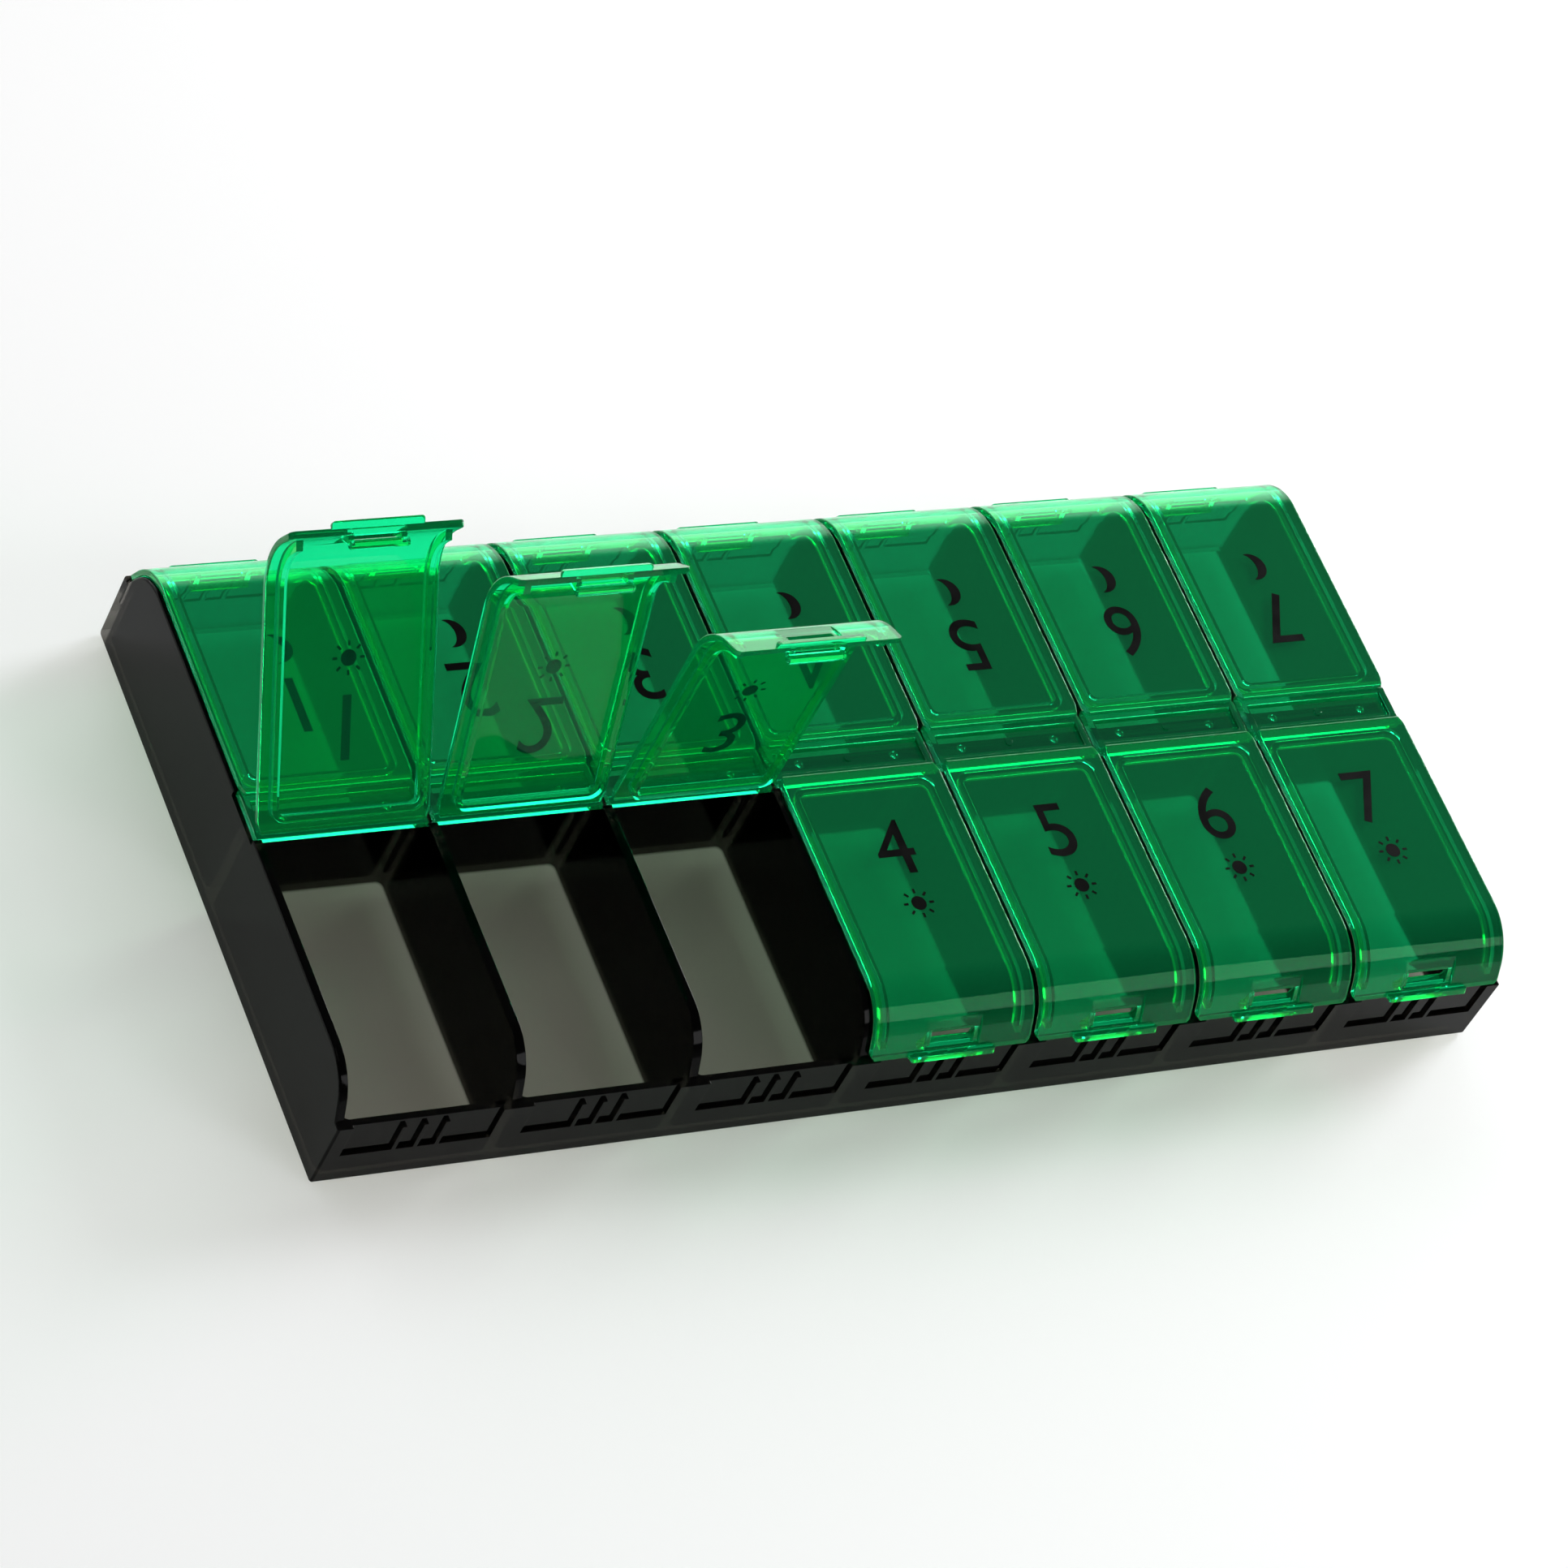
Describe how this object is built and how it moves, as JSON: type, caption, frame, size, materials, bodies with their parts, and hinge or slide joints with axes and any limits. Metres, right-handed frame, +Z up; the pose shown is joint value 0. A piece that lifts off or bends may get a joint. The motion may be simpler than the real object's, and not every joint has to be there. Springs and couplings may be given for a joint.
{
  "type": "weekly pill organizer",
  "caption": "Low pill organizer: a dark tray of small compartments, each under a bent clear green lid that hinges at a strip along the middle and snaps shut at the outer wall.",
  "frame": {"origin": "middle of the tray's underside", "axes": "+X along the week from the first day to the last, +Y from the front row to the back row, +Z up"},
  "size_m": [0.217, 0.109, 0.0743],
  "materials": {
    "smoke_plastic": "smoke-black moulded plastic, slightly translucent, smooth",
    "green_plastic": "transparent green moulded plastic, polished"
  },
  "bodies": {
    "tray": {"base_tray": "smoke_plastic", "hinge_strip_1": "green_plastic", "hinge_strip_2": "green_plastic", "hinge_strip_3": "green_plastic", "hinge_strip_4": "green_plastic", "hinge_strip_5": "green_plastic", "hinge_strip_6": "green_plastic", "hinge_strip_7": "green_plastic"},
    "morning_lid_1": {"morning_lid_1": "green_plastic"},
    "evening_lid_1": {"evening_lid_1": "green_plastic"},
    "morning_lid_2": {"morning_lid_2": "green_plastic"},
    "evening_lid_2": {"evening_lid_2": "green_plastic"},
    "morning_lid_3": {"morning_lid_3": "green_plastic"},
    "evening_lid_3": {"evening_lid_3": "green_plastic"},
    "morning_lid_4": {"morning_lid_4": "green_plastic"},
    "evening_lid_4": {"evening_lid_4": "green_plastic"},
    "morning_lid_5": {"morning_lid_5": "green_plastic"},
    "evening_lid_5": {"evening_lid_5": "green_plastic"},
    "morning_lid_6": {"morning_lid_6": "green_plastic"},
    "evening_lid_6": {"evening_lid_6": "green_plastic"},
    "morning_lid_7": {"morning_lid_7": "green_plastic"},
    "evening_lid_7": {"evening_lid_7": "green_plastic"}
  },
  "joints": [
    {"name": "morning_hinge_1", "type": "hinge", "parent": "tray", "child": "morning_lid_1", "pos_m": [-0.093, -0.00375, 0.02345], "axis": [1, 0, 0], "range_deg": [-6.5, 128.5]},
    {"name": "morning_hinge_2", "type": "hinge", "parent": "tray", "child": "morning_lid_2", "pos_m": [-0.062, -0.00375, 0.02345], "axis": [1, 0, 0], "range_deg": [-26.5, 108.5]},
    {"name": "morning_hinge_3", "type": "hinge", "parent": "tray", "child": "morning_lid_3", "pos_m": [-0.031, -0.00375, 0.02345], "axis": [1, 0, 0], "range_deg": [-45.5, 89.5]},
    {"name": "morning_hinge_4", "type": "hinge", "parent": "tray", "child": "morning_lid_4", "pos_m": [0, -0.00375, 0.02345], "axis": [1, 0, 0], "range_deg": [-135, 0]},
    {"name": "morning_hinge_5", "type": "hinge", "parent": "tray", "child": "morning_lid_5", "pos_m": [0.031, -0.00375, 0.02345], "axis": [1, 0, 0], "range_deg": [-135, 0]},
    {"name": "morning_hinge_6", "type": "hinge", "parent": "tray", "child": "morning_lid_6", "pos_m": [0.062, -0.00375, 0.02345], "axis": [1, 0, 0], "range_deg": [-135, 0]},
    {"name": "morning_hinge_7", "type": "hinge", "parent": "tray", "child": "morning_lid_7", "pos_m": [0.093, -0.00375, 0.02345], "axis": [1, 0, 0], "range_deg": [-135, 0]},
    {"name": "evening_hinge_1", "type": "hinge", "parent": "tray", "child": "evening_lid_1", "pos_m": [-0.093, 0.00375, 0.02345], "axis": [1, 0, 0], "range_deg": [0, 50]},
    {"name": "evening_hinge_2", "type": "hinge", "parent": "tray", "child": "evening_lid_2", "pos_m": [-0.062, 0.00375, 0.02345], "axis": [1, 0, 0], "range_deg": [0, 70]},
    {"name": "evening_hinge_3", "type": "hinge", "parent": "tray", "child": "evening_lid_3", "pos_m": [-0.031, 0.00375, 0.02345], "axis": [1, 0, 0], "range_deg": [0, 90]},
    {"name": "evening_hinge_4", "type": "hinge", "parent": "tray", "child": "evening_lid_4", "pos_m": [0, 0.00375, 0.02345], "axis": [1, 0, 0], "range_deg": [0, 135]},
    {"name": "evening_hinge_5", "type": "hinge", "parent": "tray", "child": "evening_lid_5", "pos_m": [0.031, 0.00375, 0.02345], "axis": [1, 0, 0], "range_deg": [0, 135]},
    {"name": "evening_hinge_6", "type": "hinge", "parent": "tray", "child": "evening_lid_6", "pos_m": [0.062, 0.00375, 0.02345], "axis": [1, 0, 0], "range_deg": [0, 135]},
    {"name": "evening_hinge_7", "type": "hinge", "parent": "tray", "child": "evening_lid_7", "pos_m": [0.093, 0.00375, 0.02345], "axis": [1, 0, 0], "range_deg": [0, 135]}
  ]
}
